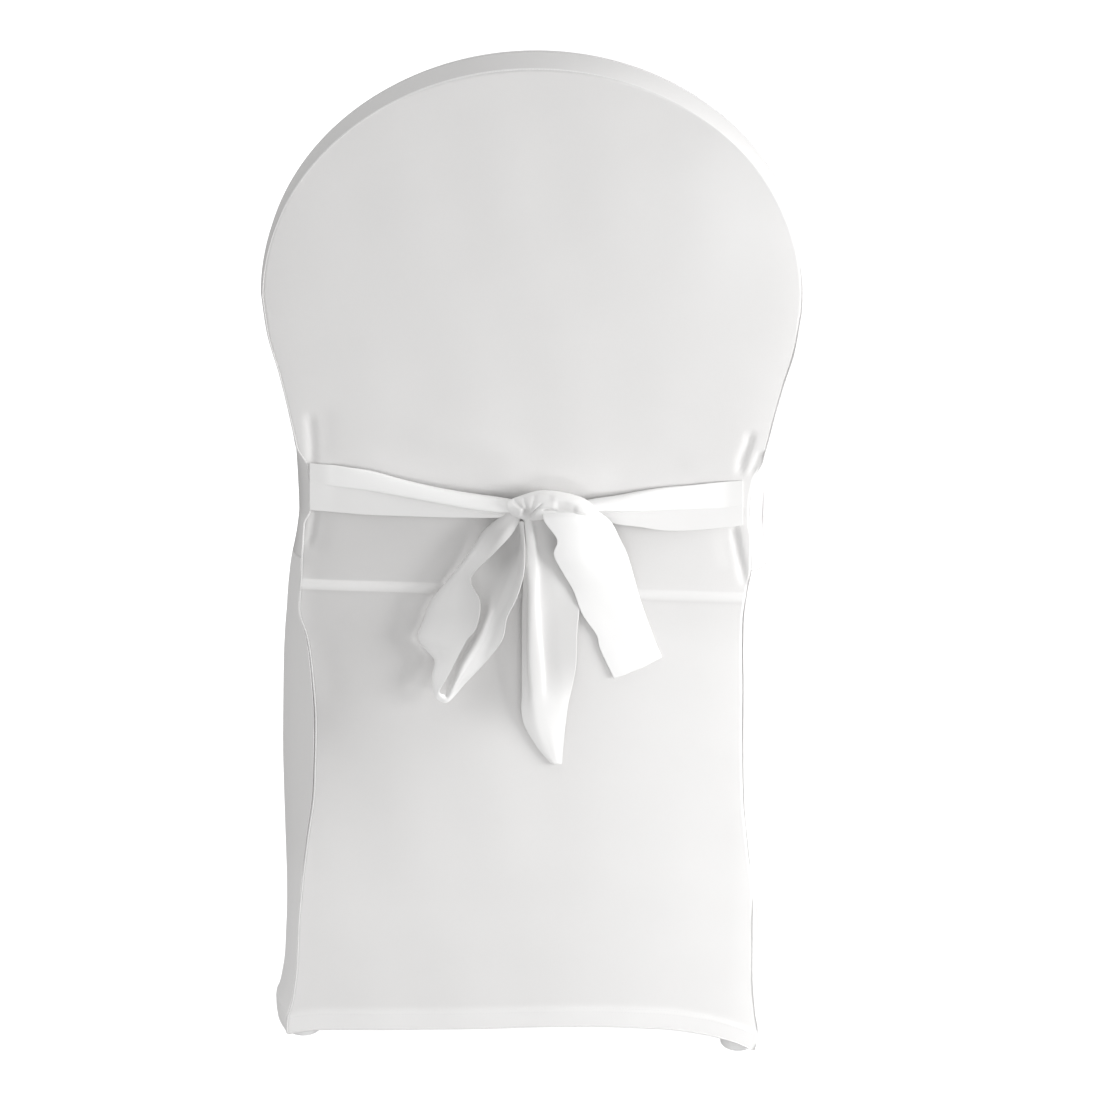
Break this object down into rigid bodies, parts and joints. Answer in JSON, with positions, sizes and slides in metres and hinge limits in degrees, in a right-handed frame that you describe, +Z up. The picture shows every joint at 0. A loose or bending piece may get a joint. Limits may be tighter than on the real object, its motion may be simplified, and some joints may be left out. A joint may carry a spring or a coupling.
{
  "type": "chair cover with sash",
  "caption": "Fitted stretch cover for a round-backed banquet chair, hollow and open below, with foot pockets at the corners and two ties knotted in a half bow across the back.",
  "frame": {"origin": "on the floor, below the middle of the cover", "axes": "+Z up, +Y towards the front of the seat, +X to the right seen from behind"},
  "size_m": [0.4752, 0.5306, 0.9315],
  "materials": {
    "cover": "smooth white stretch knit, faint satin sheen",
    "foot_pocket": "doubled white stretch cloth, matt",
    "sash": "smooth white stretch knit, faint satin sheen"
  },
  "bodies": {
    "root": {"back_panel": "cover", "rim_band": "cover", "inside_back_panel": "cover", "seat_panel": "cover", "front_panel": "cover", "side_panel_left": "cover", "side_panel_right": "cover", "foot_pocket_rear_left": "foot_pocket", "foot_pocket_rear_right": "foot_pocket", "foot_pocket_front_left": "foot_pocket", "foot_pocket_front_right": "foot_pocket", "tie_left": "sash", "tie_right": "sash", "knot": "sash", "bow_loop": "sash", "tail_centre": "sash", "tail_right": "sash"}
  },
  "joints": []
}
